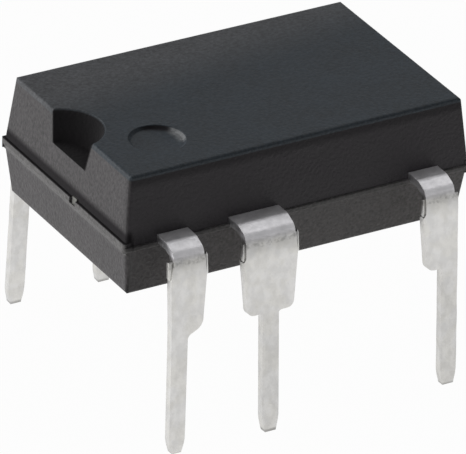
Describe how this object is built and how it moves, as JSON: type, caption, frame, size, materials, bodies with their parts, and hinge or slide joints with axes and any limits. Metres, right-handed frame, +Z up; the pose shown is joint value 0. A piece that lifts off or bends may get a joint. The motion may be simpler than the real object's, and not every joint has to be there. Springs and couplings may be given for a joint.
{
  "type": "dual in-line package integrated circuit",
  "caption": "Moulded dual in-line integrated circuit for through-hole boards, with formed leads in two rows, an end notch and a round mark beside lead 1.",
  "frame": {"origin": "under the middle of the moulded body, in the plane of the lead tips that it stands on", "axes": "+X along the body from lead 1 to lead 4, away from the notch; +Y from the row of lead 1 to the row of lead 8; +Z up, out of the top face"},
  "size_m": [0.0097, 0.0086, 0.0072],
  "materials": {
    "mould_compound": "matt black moulded epoxy with a fine grain",
    "tinned_lead": "satin tin plating over copper, mottled by the dip",
    "bare_frame": "bare copper alloy of the lead frame",
    "attach_epoxy": "silver-filled epoxy",
    "silicon": "polished silicon",
    "gold_wire": "drawn gold wire"
  },
  "bodies": {
    "root": {"moulded_body": "mould_compound", "lead_1": "tinned_lead", "lead_2": "tinned_lead", "lead_4": "tinned_lead", "lead_5": "tinned_lead", "lead_6": "tinned_lead", "lead_7": "tinned_lead", "lead_8": "tinned_lead", "die_paddle": "bare_frame", "die_attach": "attach_epoxy", "silicon_die": "silicon", "bond_wire_1": "gold_wire", "bond_wire_2": "gold_wire", "bond_wire_4a": "gold_wire", "bond_wire_4b": "gold_wire", "bond_wire_5": "gold_wire", "bond_wire_6": "gold_wire", "bond_wire_7": "gold_wire", "bond_wire_8": "gold_wire", "ground_wire": "gold_wire"}
  },
  "joints": []
}
